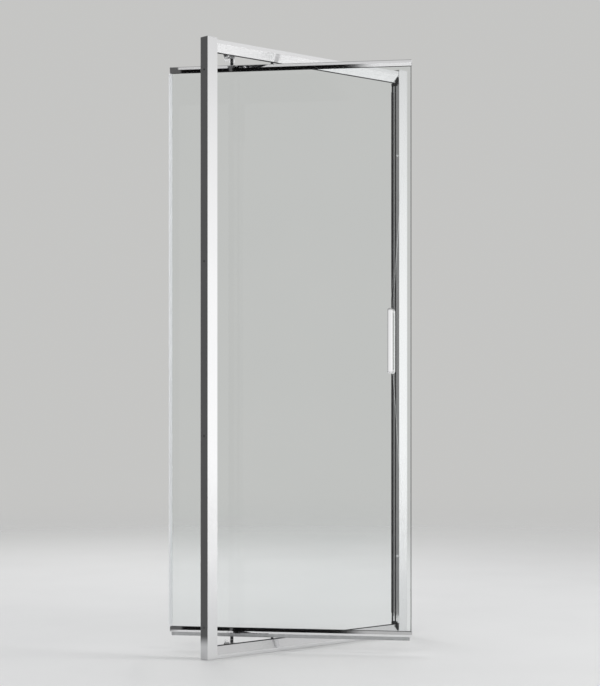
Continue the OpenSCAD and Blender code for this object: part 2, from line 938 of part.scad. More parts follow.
module handle_washers() {
    color(NYLON) hang() {
        across_glass(-glass_t / 2 - washer_t) ring(washer_r, stud_r + run_play, washer_t);
        across_glass(glass_t / 2) ring(washer_r, stud_r + run_play, washer_t);
    }
}

jamb_hinge();
jamb_strike();
wall_channel_hinge();
wall_channel_strike();
jamb_caps();
clamp_blocks();
clamp_screws();
top_rail();
bottom_rail();
rail_screws();
upper_pivot_block();
lower_pivot_block();
upper_pivot_pin();
lower_pivot_pin();
track_stops();
set_screws();
rail_edge_seals();
groove_strips();
strike_seal();
end_pads();
upper_arm();
upper_arm_bushes();
lower_arm();
lower_arm_bushes();
upper_shoe();
lower_shoe();
glass();
leaf_top_rail();
leaf_bottom_rail();
leaf_top_caps();
leaf_bottom_caps();
top_gasket();
bottom_gasket();
hinge_side_seal();
free_edge_seal();
sweep_seal();
upper_leaf_pin();
lower_leaf_pin();
upper_shoe_pin();
lower_shoe_pin();
pin_clips();
pin_spacers();
outer_handle();
inner_handle();
handle_studs();
handle_sleeves();
handle_washers();
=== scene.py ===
import json
import math
import bmesh
import bpy
from mathutils import Matrix, Vector


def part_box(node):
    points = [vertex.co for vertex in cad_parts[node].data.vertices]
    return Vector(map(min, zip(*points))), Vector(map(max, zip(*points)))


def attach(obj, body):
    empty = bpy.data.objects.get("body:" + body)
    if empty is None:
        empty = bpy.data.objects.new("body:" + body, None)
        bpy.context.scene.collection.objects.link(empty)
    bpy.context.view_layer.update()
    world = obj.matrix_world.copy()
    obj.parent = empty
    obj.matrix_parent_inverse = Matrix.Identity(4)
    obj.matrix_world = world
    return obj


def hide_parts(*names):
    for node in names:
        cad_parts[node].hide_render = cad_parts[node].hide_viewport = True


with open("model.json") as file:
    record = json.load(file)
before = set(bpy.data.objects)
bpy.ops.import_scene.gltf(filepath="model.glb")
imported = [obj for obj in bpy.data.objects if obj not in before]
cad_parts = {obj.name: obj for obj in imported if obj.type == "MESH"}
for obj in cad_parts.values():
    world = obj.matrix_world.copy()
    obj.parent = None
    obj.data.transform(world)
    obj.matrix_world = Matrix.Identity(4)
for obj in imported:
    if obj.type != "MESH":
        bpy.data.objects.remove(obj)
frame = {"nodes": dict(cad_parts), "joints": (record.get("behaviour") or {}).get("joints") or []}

scene = bpy.context.scene
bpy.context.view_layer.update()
nodes = frame["nodes"]
joints = {joint["name"]: joint for joint in frame["joints"]}
mm = 0.001
print("frame loaded,", len(nodes), "nodes")


# Camera: the photograph's place and lens, level, shifted up to its horizon
camera = {
    "place": (-3.7651, -4.2140, 0.8181),
    "heading": 41.48,      # degrees from +Y towards +X
    "focal": 1713.3,       # in pixels of the photograph
    "width": 600,
    "height": 686,
    "horizon": 398.22,     # pixels down from the top
    "sensor": 36.0,
    "clip": (0.05, 100),
}


def makeCamera(c):
    lens = bpy.data.cameras.new("photoCamera")
    longSide = max(c["width"], c["height"])
    lens.sensor_width = c["sensor"]
    lens.lens = c["focal"] / longSide * c["sensor"]
    lens.shift_y = (c["horizon"] - c["height"] / 2) / longSide
    lens.clip_start, lens.clip_end = c["clip"]
    cam = bpy.data.objects.new("photoCamera", lens)
    cam.location = c["place"]
    cam.rotation_euler = (math.radians(90), 0, -math.radians(c["heading"]))
    scene.collection.objects.link(cam)
    scene.camera = cam


makeCamera(camera)
print("camera set")


# How the noise in a finish is used; depth is the bump's, in metres
noises = {
    "span": (0.3, 0.7),     # where most of a noise's values lie
    "cloudDetail": 2.0,
    "metal": {"detail": 3.0, "cloud": 6.0, "depth": 0.00004},
    "plastic": {"detail": 4.0, "cloud": 14.0, "depth": 0.0001},
}


# Shader helpers
def newMaterial(name):
    mat = bpy.data.materials.new(name)
    mat.use_nodes = True
    return mat, mat.node_tree.nodes, mat.node_tree.links, mat.node_tree.nodes["Principled BSDF"]


def grain(tree, links, scale, detail, stretch=(1, 1, 1)):
    # noise in the object's own space, drawn out by stretch
    place = tree.new("ShaderNodeTexCoord")
    mapping = tree.new("ShaderNodeMapping")
    mapping.inputs["Scale"].default_value = stretch
    noise = tree.new("ShaderNodeTexNoise")
    noise.inputs["Scale"].default_value = scale
    noise.inputs["Detail"].default_value = detail
    links.new(place.outputs["Object"], mapping.inputs["Vector"])
    links.new(mapping.outputs["Vector"], noise.inputs["Vector"])
    return noise.outputs["Fac"]


def spread(tree, links, value, low, high):
    # maps a noise to a range
    span = tree.new("ShaderNodeMapRange")
    span.inputs["From Min"].default_value = noises["span"][0]
    span.inputs["From Max"].default_value = noises["span"][1]
    span.inputs["To Min"].default_value = low
    span.inputs["To Max"].default_value = high
    links.new(value, span.inputs["Value"])
    return span.outputs["Result"]


def tint(tree, links, value, dark, light):
    # maps a noise to the colours between two
    ramp = tree.new("ShaderNodeValToRGB")
    for end, position, colour in zip(ramp.color_ramp.elements, noises["span"], (dark, light)):
        end.position = position
        end.color = (*colour, 1)
    links.new(value, ramp.inputs["Fac"])
    return ramp.outputs["Color"]


def bump(tree, links, shader, value, strength, distance):
    node = tree.new("ShaderNodeBump")
    node.inputs["Strength"].default_value = strength
    node.inputs["Distance"].default_value = distance
    links.new(value, node.inputs["Height"])
    links.new(node.outputs["Normal"], shader.inputs["Normal"])


def colourAndGloss(tree, links, shader, finish, cloud, fine):
    # the cloud varies the colour, and the fine noise the roughness
    links.new(tint(tree, links, cloud, finish["dark"], finish["light"]), shader.inputs["Base Color"])
    links.new(spread(tree, links, fine, *finish["rough"]), shader.inputs["Roughness"])


def metal(name, finish):
    mat, tree, links, shader = newMaterial(name)
    shader.inputs["Metallic"].default_value = 1.0
    use = noises["metal"]
    lines = grain(tree, links, finish["scale"], use["detail"], finish["stretch"])
    cloud = grain(tree, links, use["cloud"], noises["cloudDetail"])
    colourAndGloss(tree, links, shader, finish, cloud, lines)
    bump(tree, links, shader, lines, finish["bump"], use["depth"])
    return mat


def plastic(name, finish):
    mat, tree, links, shader = newMaterial(name)
    shader.inputs["Specular IOR Level"].default_value = finish["gleam"]
    use = noises["plastic"]
    fine = grain(tree, links, finish["scale"], use["detail"])
    cloud = grain(tree, links, use["cloud"], noises["cloudDetail"])
    colourAndGloss(tree, links, shader, finish, cloud, fine)
    bump(tree, links, shader, fine, finish["bump"], use["depth"])
    return mat


def clear(name, finish):
    mat, tree, links, shader = newMaterial(name)
    shader.inputs["Transmission Weight"].default_value = finish["transmission"]
    shader.inputs["IOR"].default_value = finish["ior"]
    shader.inputs["Specular Tint"].default_value = (*[finish["gleam"]] * 3, 1)
    cloud = grain(tree, links, finish["scale"], noises["cloudDetail"], finish["stretch"])
    colourAndGloss(tree, links, shader, finish, cloud, cloud)
    return mat


# How a finish's grain is drawn out: along a piece, in rings round it, or not at all
along = {
    "x": (0.02, 1, 1),
    "z": (1, 1, 0.02),
    "seal": (1, 1, 0.05),
    "rings": (0.3, 0.3, 4),
    "even": (1, 1, 1),
}

finishes = {
    "chrome": metal("polishedChrome", {
        "dark": (0.84, 0.84, 0.85), "light": (0.87, 0.87, 0.875), "rough": (0.035, 0.075),
        "scale": 260, "stretch": along["even"], "bump": 0.05}),
    "jambMetal": metal("brightAluminiumUpright", {
        "dark": (0.85, 0.85, 0.857), "light": (0.865, 0.865, 0.87), "rough": (0.09, 0.13),
        "scale": 420, "stretch": along["z"], "bump": 0.05}),
    "railMetal": metal("brightAluminiumLevel", {
        "dark": (0.85, 0.85, 0.857), "light": (0.865, 0.865, 0.87), "rough": (0.17, 0.21),
        "scale": 420, "stretch": along["x"], "bump": 0.03}),
    "armMetal": metal("satinChrome", {
        "dark": (0.76, 0.76, 0.77), "light": (0.80, 0.80, 0.805), "rough": (0.12, 0.20),
        "scale": 500, "stretch": along["even"], "bump": 0.12}),
    # the wall channels' aluminium is set darker than the uprights': painted shade for their outer sides
    "channelMetalPaintedShade": metal("aluminiumChannelPaintedShade", {
        "dark": (0.68, 0.68, 0.69), "light": (0.70, 0.70, 0.71), "rough": (0.06, 0.10),
        "scale": 420, "stretch": along["z"], "bump": 0.04}),
    "steel": metal("turnedSteel", {
        "dark": (0.52, 0.52, 0.54), "light": (0.62, 0.62, 0.63), "rough": (0.18, 0.30),
        "scale": 900, "stretch": along["rings"], "bump": 0.25}),
    "zinc": metal("castZinc", {
        "dark": (0.42, 0.42, 0.44), "light": (0.52, 0.52, 0.53), "rough": (0.32, 0.48),
        "scale": 700, "stretch": along["even"], "bump": 0.4}),
    "blackSteel": metal("blackenedSteel", {
        "dark": (0.05, 0.05, 0.05), "light": (0.09, 0.09, 0.09), "rough": (0.25, 0.4),
        "scale": 800, "stretch": along["even"], "bump": 0.3}),
    "nylon": plastic("naturalNylon", {
        "dark": (0.74, 0.73, 0.70), "light": (0.82, 0.81, 0.79), "rough": (0.35, 0.5),
        "scale": 900, "bump": 0.2, "gleam": 0.5}),
    "blackNylon": plastic("blackNylon", {
        "dark": (0.014, 0.014, 0.015), "light": (0.028, 0.028, 0.030), "rough": (0.35, 0.5),
        "scale": 900, "bump": 0.3, "gleam": 0.4}),
    "vinyl": plastic("blackVinyl", {
        "dark": (0.009, 0.009, 0.010), "light": (0.020, 0.020, 0.022), "rough": (0.34, 0.50),
        "scale": 650, "bump": 0.25, "gleam": 0.2}),
    "clearVinyl": clear("clearVinyl", {
        "dark": (0.83, 0.84, 0.845), "light": (0.86, 0.87, 0.875), "rough": (0.27, 0.31),
        "scale": 30, "stretch": along["seal"], "transmission": 0.32, "ior": 1.4, "gleam": 0.5}),
    "smokyVinyl": clear("smokyVinyl", {
        "dark": (0.43, 0.435, 0.435), "light": (0.50, 0.505, 0.505), "rough": (0.30, 0.42),
        "scale": 60, "stretch": along["even"], "transmission": 0.2, "ior": 1.45, "gleam": 0.5}),
    "glass": clear("toughenedGlass", {
        "dark": (0.925, 0.945, 0.940), "light": (0.940, 0.957, 0.952), "rough": (0.0, 0.012),
        "scale": 3, "stretch": along["even"], "transmission": 1.0, "ior": 1.5, "gleam": 0.4}),
}
print("finishes made,", len(finishes))


# Which CAD node takes which finish
wears = {
    "jambMetal": ["jamb_hinge", "jamb_strike"],
    "railMetal": ["top_rail", "bottom_rail"],
    "channelMetalPaintedShade": ["wall_channel_hinge", "wall_channel_strike"],
    "armMetal": ["upper_arm", "lower_arm"],
    "chrome": ["jamb_caps", "leaf_top_rail", "leaf_bottom_rail", "leaf_top_caps",
               "leaf_bottom_caps", "outer_handle", "inner_handle"],
    "steel": ["clamp_screws", "rail_screws", "upper_pivot_pin", "lower_pivot_pin", "upper_leaf_pin",
              "lower_leaf_pin", "upper_shoe_pin", "lower_shoe_pin", "pin_clips", "handle_studs"],
    "zinc": ["upper_pivot_block", "lower_pivot_block"],
    "blackSteel": ["set_screws"],
    "nylon": ["clamp_blocks", "upper_arm_bushes", "lower_arm_bushes", "upper_shoe", "lower_shoe",
              "handle_sleeves", "handle_washers"],
    "blackNylon": ["track_stops", "pin_spacers"],
    # the groove_strips are black strips sunk in the jambs' grooves: dark pieces that give the grooves
    # painted shade
    "vinyl": ["strike_seal", "groove_strips", "rail_edge_seals", "end_pads", "top_gasket", "bottom_gasket",
              "free_edge_seal"],
    "clearVinyl": ["hinge_side_seal"],
    "smokyVinyl": ["sweep_seal"],
    "glass": ["glass"],
}


def dress(node, finish):
    slots = nodes[node].data.materials
    slots.clear()
    slots.append(finishes[finish])


for finish, names in wears.items():
    for name in names:
        dress(name, finish)


# A small round on the hard edges, so that they catch the light
rounding = {"merge": 0.00001, "segments": 2, "angle": 30}


def soften(obj, width):
    weld = obj.modifiers.new("weld", "WELD")
    weld.merge_threshold = rounding["merge"]
    edge = obj.modifiers.new("edges", "BEVEL")
    edge.width = width * mm
    edge.segments = rounding["segments"]
    edge.limit_method = "ANGLE"
    edge.angle_limit = math.radians(rounding["angle"])
    edge.harden_normals = True


# Its width on each node, in mm
edgeRound = {
    "jamb_hinge": 0.5, "jamb_strike": 0.5, "top_rail": 0.35, "bottom_rail": 0.35, "jamb_caps": 0.5,
    "leaf_top_rail": 0.5, "leaf_bottom_rail": 0.5, "upper_arm": 0.6, "lower_arm": 0.6,
    "upper_shoe": 0.4, "lower_shoe": 0.4, "upper_pivot_block": 0.4, "lower_pivot_block": 0.4,
    "track_stops": 0.4, "upper_pivot_pin": 0.4, "lower_pivot_pin": 0.4, "glass": 0.4, "rail_edge_seals": 0.2,
}
for name, width in edgeRound.items():
    soften(nodes[name], width)
print("frame dressed")


# The leaf's own place: s runs along it from the hinge end, y across it, z up
leaf = {
    "knuckle": 205,        # mm from the hinge end to the arms' pins
    "halfGlass": 3.0,
}
jambFace = 401             # mm from the middle of the frame to a jamb's face


def makeLeafPlace(knuckle):
    pin = Vector(joints["leaf_turn"]["pos_m"])
    shoe = Vector(joints["lower_shoe_turn"]["pos_m"])
    run = shoe - pin
    run.z = 0
    run.normalize()
    across = Vector((-run.y, run.x, 0))
    start = Vector((pin.x, pin.y, 0)) - run * knuckle * mm
    place = Matrix.Identity(4)
    for row in range(3):
        place[row][0] = run[row]
        place[row][1] = across[row]
        place[row][3] = start[row]
    return place


leafPlace = makeLeafPlace(leaf["knuckle"])
framePlace = Matrix.Identity(4)


def heights(node):
    low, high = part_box(node)
    return low[2] / mm, high[2] / mm


# Mesh helpers, all in mm until a piece is placed
def rounded(corners, steps=5):
    # corners are (x, y, radius); a radius turns a corner into an arc
    outline = []
    count = len(corners)
    for i, (x, y, radius) in enumerate(corners):
        here = Vector((x, y))
        if radius <= 0:
            outline.append(here)
            continue
        before = (Vector(corners[i - 1][:2]) - here).normalized()
        after = (Vector(corners[(i + 1) % count][:2]) - here).normalized()
        half = before.angle(after) / 2
        middle = here + (before + after).normalized() * radius / math.sin(half)
        first = here + before * radius / math.tan(half) - middle
        last = here + after * radius / math.tan(half) - middle
        turn = first.angle_signed(last)
        for k in range(steps + 1):
            spin = Matrix.Rotation(-turn * k / steps, 2)
            outline.append(middle + spin @ first)
    return outline


def mirrored(half, middle=0):
    # one side's corners, from the first round to the last, and then the other side's
    there = [(x, middle + y, radius) for x, y, radius in half]
    back = [(x, middle - y, radius) for x, y, radius in reversed(half)]
    return there + back


def polar(reaches):
    # a ring of points round a middle, one for each reach
    count = len(reaches)
    ring = []
    for k, reach in enumerate(reaches):
        angle = 2 * math.pi * k / count
        ring.append((reach * math.cos(angle), reach * math.sin(angle)))
    return ring


def addRun(bm, outline, start, end, axis):
    # draws an outline out from start to end, along z, or along x with the outline in y and z
    rings = []
    for h in (start, end):
        ring = []
        for a, b in outline:
            ring.append(bm.verts.new((a, b, h) if axis == "z" else (h, a, b)))
        rings.append(ring)
    count = len(outline)
    for i in range(count):
        j = (i + 1) % count
        bm.faces.new((rings[0][i], rings[0][j], rings[1][j], rings[1][i]))
    bm.faces.new(rings[0])
    bm.faces.new(rings[1])


def addLoft(bm, rings):
    # rings of points, each as long as the next, closed at both ends
    made = [[bm.verts.new(point) for point in ring] for ring in rings]
    count = len(made[0])
    for low, high in zip(made, made[1:]):
        for i in range(count):
            j = (i + 1) % count
            bm.faces.new((low[i], low[j], high[j], high[i]))
    bm.faces.new(made[0])
    bm.faces.new(made[-1])


def finishPiece(name, bm, place, finish, slot, body, *replaced, angle=35):
    bmesh.ops.recalc_face_normals(bm, faces=bm.faces)
    mesh = bpy.data.meshes.new(name)
    bm.to_mesh(mesh)
    bm.free()
    mesh.transform(place @ Matrix.Scale(mm, 4))
    for face in mesh.polygons:
        face.use_smooth = True
    mesh.set_sharp_from_angle(angle=math.radians(angle))
    mesh.materials.append(finishes[finish])
    piece = bpy.data.objects.new(name, mesh)
    scene.collection.objects.link(piece)
    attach(piece, body)
    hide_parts(*replaced)
    return piece


# Seal on the strike jamb: a barbed root in the groove, a foot on the face and a fin with a bulb
strikeSeal = {
    "y": 15.2, "root": 2.8, "neck": 0.7, "barb": 1.4, "foot": 2.5, "half": 2.5, "fin": 5.5, "bulb": 1.2,
    "play": 4,             # the fin stops this far short of the glass's own seal at each end
}


def makeStrikeSeal(s):
    low, high = heights("strike_seal")
    paneLow, paneHigh = heights("hinge_side_seal")
    x, top, tip = jambFace, jambFace - s["foot"], jambFace - s["fin"]
    base = rounded(mirrored([
        (x + s["root"], 0.9, 0.3), (x + 1.6, s["barb"], 0.2), (x + 1.5, s["neck"], 0.1),
        (x, s["neck"], 0.0), (x, s["half"], 0.2), (top + 0.9, s["half"], 0.4), (top, 1.4, 0.6)], s["y"]))
    fin = rounded(mirrored([
        (top + 0.2, 1.1, 0.0), (top - 0.7, 0.75, 0.4), (tip + 1.5, 0.7, 0.3),
        (tip + 1.0, s["bulb"], 0.3), (tip, 0.3, 0.6)], s["y"]))
    bm = bmesh.new()
    addRun(bm, base, low, high, "z")
    addRun(bm, fin, paneLow + s["play"], paneHigh - s["play"], "z")
    finishPiece("strikeSealProfile", bm, framePlace, "vinyl", "black_seal", "frame", "strike_seal")


# Clear seal on the hinge edge of the glass: a clip with rounded legs, and a fin with a bulb
hingeSeal = {"grip": 6, "wall": 1.0, "edge": 1.0, "out": 6.0, "bulb": 1.2}


def makeHingeSeal(s):
    low, high = heights("hinge_side_seal")
    inner = leaf["halfGlass"]
    half, tip = inner + s["wall"], -s["out"]
    outline = rounded(mirrored([
        (s["edge"], inner, 0.0), (s["grip"], inner, 0.2), (s["grip"], half, 0.4), (0.2, half, 1.6),
        (-1.2, 0.8, 1.0), (tip + 2.4, 0.5, 0.5), (tip + 1.6, s["bulb"], 0.6), (tip, 1.0, 0.9)]))
    bm = bmesh.new()
    addRun(bm, outline, low, high, "z")
    piece = finishPiece(
        "hingeSealProfile", bm, leafPlace, "clearVinyl", "clear_seal", "leaf", "hinge_side_seal")
    piece.visible_shadow = False


# Dark strip on the free edge, rounded outside
freeEdge = {"from": 789, "thick": 1.8, "half": 3.0, "round": 1.4}


def makeFreeEdge(s):
    low, high = heights("free_edge_seal")
    start, end = s["from"], s["from"] + s["thick"]
    outline = rounded(mirrored([(end, s["half"], s["round"]), (start, s["half"], 0.0)]))
    bm = bmesh.new()
    addRun(bm, outline, low, high, "z")
    finishPiece("freeEdgeStrip", bm, leafPlace, "vinyl", "black_seal", "leaf", "free_edge_seal")


# Sweep under the leaf: a bead in the rail, a lip over its lower edge and a blade that thins to its tip
sweep = {
    "from": 6, "to": 786, "y": -6.1, "thick": 1.3, "bead": 2,
    "rail": -9.05, "lip": 0.7, "cover": 6.0, "foot": 2.2,
}


def makeSweep(s):
    low, high = heights("sweep_seal")
    y, t = s["y"], s["thick"] / 2
    edge = high - s["bead"]     # the rail's lower edge
    under, out = edge - s["foot"], s["rail"] - s["lip"]
    outline = rounded([
        (y - t, high, 0.3), (y + t, high, 0.3), (y + t, edge, 0.0), (y + t * 0.8, edge - 2.5, 1.0),
        (y + t * 0.2, low + 0.3, 0.25), (y - t * 0.9, low, 0.25), (y - t * 0.8, under - 0.2, 0.4),
        (out, under, 1.0), (out, edge + s["cover"], 0.4), (s["rail"], edge + s["cover"], 0.2),
        (s["rail"], edge - 0.1, 0.0), (y - t, edge - 0.1, 0.0)])
    bm = bmesh.new()
    addRun(bm, outline, s["from"], s["to"], "x")
    piece = finishPiece("sweepBlade", bm, leafPlace, "smokyVinyl", "clear_seal", "leaf", "sweep_seal")
    piece.visible_shadow = False


# Gaskets round the glass: a channel whose lips swell where they show
gasket = {"from": 1, "to": 789, "wall": 1.0, "lip": 1.0, "swell": 0.35}


def makeGasket(g, node, name, up):
    # deep counts from the channel's closed side to its lips
    low, high = heights(node)
    inner = leaf["halfGlass"]
    half, depth = inner + g["wall"], high - low
    swollen, neck = half + g["swell"], depth - g["lip"]
    corners = mirrored([
        (0, half, 0.3), (neck, half, 0.0), (neck + 0.1, swollen, 0.15), (depth - 0.3, swollen, 0.3),
        (depth, inner + 0.3, 0.3), (depth - 1.0, inner, 0.1), (g["wall"], inner, 0.1)])
    outline = []
    for deep, across in rounded(corners, 3):
        outline.append((across, low + deep if up else high - deep))
    bm = bmesh.new()
    addRun(bm, outline, g["from"], g["to"], "x")
    finishPiece(name, bm, leafPlace, "vinyl", "black_seal", "leaf", node)


# Clamp screws: domed heads with a hex socket, and rolled threads that run into the blocks
clampScrew = {
    "y": -8.5, "levels": (275, 1655), "steps": 36,
    "shank": 2.5, "point": 1.7, "thread": 0.3, "pitch": 0.8, "plain": 3, "length": 26,
    "head": 5.5,
    "rim": [(-0.3, 0.0), (0.0, 0.25), (0.0, 0.9), (-0.275, 1.35)],     # past the head's radius, height
    "dome": 3.0, "shoulder": 1.4, "domeShare": 0.93, "domeRise": 0.81, "domeSteps": 6, "domeStep": 9,
    "socket": 2.0, "deep": 1.5, "lead": (0.25, 0.2),
}


def hexReach(apothem, angle):
    # how far out a hexagon's side lies in a direction
    side = math.pi / 3
    return apothem / math.cos(angle % side - side / 2)


def screwProfile(c):
    # radius and height from the jamb's face, from the screw's tip to the top of its head
    profile = [(c["point"], -c["length"])]
    turns = int((c["length"] - c["plain"]) / c["pitch"] * 2)
    for k in range(turns, 0, -1):
        profile.append((c["shank"] - c["thread"] * (k % 2), -c["plain"] - k * c["pitch"] / 2))
    profile.append((c["shank"], 0.0))
    profile += [(c["head"] + more, height) for more, height in c["rim"]]
    for k in range(1, c["domeSteps"] + 1):
        lean = math.radians(90 - c["domeStep"] * k)
        rise = math.cos(lean) / c["domeRise"]
        height = c["shoulder"] + (c["dome"] - c["shoulder"]) * rise
        profile.append((c["head"] * c["domeShare"] * math.sin(lean), height))
    return profile


def screwRings(c):
    # rings round one screw, each with its height, ending at the bottom of the socket
    rings = [(polar([radius] * c["steps"]), out) for radius, out in screwProfile(c)]
    wide, deep = c["lead"]
    for more, out in ((wide, c["dome"]), (0, c["dome"] - deep), (0, c["dome"] - c["deep"])):
        reaches = []
        for k in range(c["steps"]):
            reaches.append(hexReach(c["socket"], 2 * math.pi * k / c["steps"]) + more)
        rings.append((polar(reaches), out))
    return rings


def makeClampScrews(c):
    bm = bmesh.new()
    for side in (-1, 1):
        for level in c["levels"]:
            placed = []
            for ring, out in screwRings(c):
                placed.append([(side * (jambFace - out), c["y"] + a, level + b) for a, b in ring])
            addLoft(bm, placed)
    finishPiece("clampScrewHeads", bm, framePlace, "chrome", "steel", "frame", "clamp_screws")


# Pads on the strike jamb: moulded round the slanted end of a rail's face and along its edge. Their black
# wedge round the slanted end is painted shade, where the slanted rail shades the jamb's face
padsWithPaintedShade = {
    "thick": 2.5, "railTop": 1944, "railFront": -15.5, "railLip": 12, "railEdge": -4.5,
    "railHeight": 38, "over": 1, "back": 18, "out": -14, "step": 6, "low": 20, "high": 48, "soft": 0.4,
}


def makePadsWithPaintedShade(p):
    # slant and foot trace the black wedge of painted shade along the rail's slanted end
    slant = (p["railEdge"] - p["railFront"]) / (p["railHeight"] - p["railLip"])
    foot = p["railFront"] + slant * (p["low"] - p["railLip"])
    shoulder, stepped = p["railHeight"] + p["over"], p["out"] + p["step"]
    corners = [
        (p["out"], p["low"], 0.4), (foot, p["low"], 0.3), (p["railEdge"], p["railHeight"], 0.0),
        (p["back"], p["railHeight"], 0.3), (p["back"], p["high"], 1.5), (stepped, p["high"], 1.5),
        (stepped, shoulder, 0.4), (p["out"], shoulder, 1.2)]
    bm = bmesh.new()
    for topSide in (False, True):
        outline = []
        for y, q in rounded(corners):
            outline.append((y, p["railTop"] - q if topSide else q))
        addRun(bm, outline, jambFace - p["thick"], jambFace, "x")
    piece = finishPiece("endPadsWithPaintedShade", bm, framePlace, "vinyl", "black_seal", "frame", "end_pads")
    soften(piece, p["soft"])


# Handle: a bar with a domed face and round ends, on two turned posts
handle = {
    "s": 726, "z": 1001, "length": 210, "width": 18, "depth": 11, "off": 26,
    "square": 2.5,         # 2 is an ellipse, more is squarer
    "thin": 0.55,          # the bar's depth at its very ends, as a share
    "tip": 0.02,           # keeps the last ring of an end from closing to a point
    "endSteps": 12, "barSteps": 40, "postSteps": 36,
    "washer": 1.0, "inset": 10, "post": 7.0, "sunk": 2,
    # what the post's radius gains, and how far over the washer or from the post's own end
    "flare": [(-0.4, 0.0), (0.6, 0.3), (0.8, 1.0), (0.6, 2.0), (-0.2, 2.3), (0.0, 3.2)],
    "neck": [(0.0, -5.0), (0.1, -3.5), (0.5, -2.2), (0.9, -1.4), (0.9, 0.0)],
}


def barRings(h):
    # cross-sections of the bar, from its lower end to its upper one
    half, reach = h["width"] / 2, h["length"] / 2
    levels = []
    for k in range(h["endSteps"] + 1):
        levels.append(half * (1 - math.cos(math.pi / 2 * k / h["endSteps"])))
    heightsUp = [-reach + d for d in levels] + [reach - d for d in reversed(levels)]
    rings = []
    for level in heightsUp:
        inset = reach - abs(level)
        share = 1.0
        if inset < half:
            share = math.sqrt(max(h["tip"], 1 - ((half - inset) / half) ** 2))
        wide = half * share
        deep = h["depth"] / 2 * (h["thin"] + (1 - h["thin"]) * share)
        ring = []
        for c, s in polar([1] * h["barSteps"]):
            a = math.copysign(abs(c) ** (2 / h["square"]), c) * wide
            b = math.copysign(abs(s) ** (2 / h["square"]), s) * deep
            ring.append((a, b, level))
        rings.append(ring)
    return rings


def makeHandle(h, name, node, side):
    # side is -1 outside the glass and 1 inside it
    bm = bmesh.new()
    glass = leaf["halfGlass"]
    middle = glass + h["off"] + h["depth"] / 2
    rings = []
    for ring in barRings(h):
        rings.append([(h["s"] + a, side * (middle + b), h["z"] + z) for a, b, z in ring])
    addLoft(bm, rings)
    face = glass + h["washer"]
    back = glass + h["off"] + h["sunk"]
    turned = [(h["post"] + more, face + out) for more, out in h["flare"]]
    turned += [(h["post"] + more, back + out) for more, out in h["neck"]]
    for end in (-1, 1):
        z = h["z"] + end * (h["length"] / 2 - h["inset"])
        post = []
        for radius, out in turned:
            ring = polar([radius] * h["postSteps"])
            post.append([(h["s"] + a, side * out, z + b) for a, b in ring])
        addLoft(bm, post)
    finishPiece(name, bm, leafPlace, "chrome", "chrome", "leaf", node, angle=50)


makeStrikeSeal(strikeSeal)
makeHingeSeal(hingeSeal)
makeFreeEdge(freeEdge)
makeSweep(sweep)
makeGasket(gasket, "top_gasket", "topGasketLips", False)
makeGasket(gasket, "bottom_gasket", "bottomGasketLips", True)
makePadsWithPaintedShade(padsWithPaintedShade)
makeClampScrews(clampScrew)
makeHandle(handle, "outerHandleBow", "outer_handle", -1)
makeHandle(handle, "innerHandleBow", "inner_handle", 1)
print("seals and handles made")


# Stage: floor, world, lamps and flags that paint dark reflections
paleFloor = {
    "colour": (0.78, 0.78, 0.77), "darker": 0.97, "cloud": 2.0, "detail": 4.0, "rough": 0.55, "gleam": 0.3,
    "fadeFrom": 1.2, "fadeTo": 12.0,      # metres from the middle
    "stand": 5.6,                         # the camera's distance, so that it fades evenly to the eye
    "rim": 1.0, "sides": 96, "drop": 0.0006,
}

backdrop = {
    "colour": (0.56, 0.56, 0.55),
    "ambient": 0.62,       # what lights the surfaces from all round
    "ambientColour": (0.96, 0.97, 1.0),
    "ring": 1.14,          # the brightest that metal sees
    # (height of a direction, share of the ring's brightness)
    "shares": [(-0.40, 0.92), (-0.12, 0.88), (-0.03, 0.99), (0.057, 0.955), (0.115, 0.88), (0.16, 0.80),
               (0.195, 0.70), (0.35, 0.60), (0.75, 0.34)],
    # (1 towards the bright side and -1 away from it, share)
    "bright": (0.62, -0.78, 0.0),
    "turns": [(-1.0, 0.46), (-0.2, 0.86), (1.0, 1.0)],
}


def makeFloor(b):
    bm = bmesh.new()
    bmesh.ops.create_circle(bm, cap_ends=True, radius=b["fadeTo"] + b["rim"], segments=b["sides"])
    mesh = bpy.data.meshes.new("floor")
    bm.to_mesh(mesh)
    bm.free()
    floor = bpy.data.objects.new("floor", mesh)
    floor.location = (0, 0, -b["drop"])
    scene.collection.objects.link(floor)
    mat, tree, links, shader = newMaterial("paleFloor")
    shader.inputs["Roughness"].default_value = b["rough"]
    shader.inputs["Specular IOR Level"].default_value = b["gleam"]
    cloud = grain(tree, links, b["cloud"], b["detail"])
    low = [c * b["darker"] for c in b["colour"]]
    links.new(tint(tree, links, cloud, low, b["colour"]), shader.inputs["Base Color"])
    # the floor's rim fades into the backdrop
    place = tree.new("ShaderNodeTexCoord")
    reach = tree.new("ShaderNodeVectorMath")
    reach.operation = "LENGTH"
    far = tree.new("ShaderNodeMath")
    far.operation = "ADD"
    far.inputs[1].default_value = b["stand"]
    near = tree.new("ShaderNodeMath")
    near.operation = "DIVIDE"
    near.inputs[0].default_value = 1.0
    fade = tree.new("ShaderNodeMapRange")
    fade.interpolation_type = "SMOOTHERSTEP"
    fade.inputs["From Min"].default_value = 1 / (b["fadeFrom"] + b["stand"])
    fade.inputs["From Max"].default_value = 1 / (b["fadeTo"] + b["stand"])
    gone = tree.new("ShaderNodeBsdfTransparent")
    mix = tree.new("ShaderNodeMixShader")
    out = tree["Material Output"]
    links.new(place.outputs["Object"], reach.inputs[0])
    links.new(reach.outputs["Value"], far.inputs[0])
    links.new(far.outputs["Value"], near.inputs[1])
    links.new(near.outputs["Value"], fade.inputs["Value"])
    links.new(fade.outputs["Result"], mix.inputs["Fac"])
    links.new(shader.outputs["BSDF"], mix.inputs[1])
    links.new(gone.outputs["BSDF"], mix.inputs[2])
    links.new(mix.outputs["Shader"], out.inputs["Surface"])
    mesh.materials.append(mat)


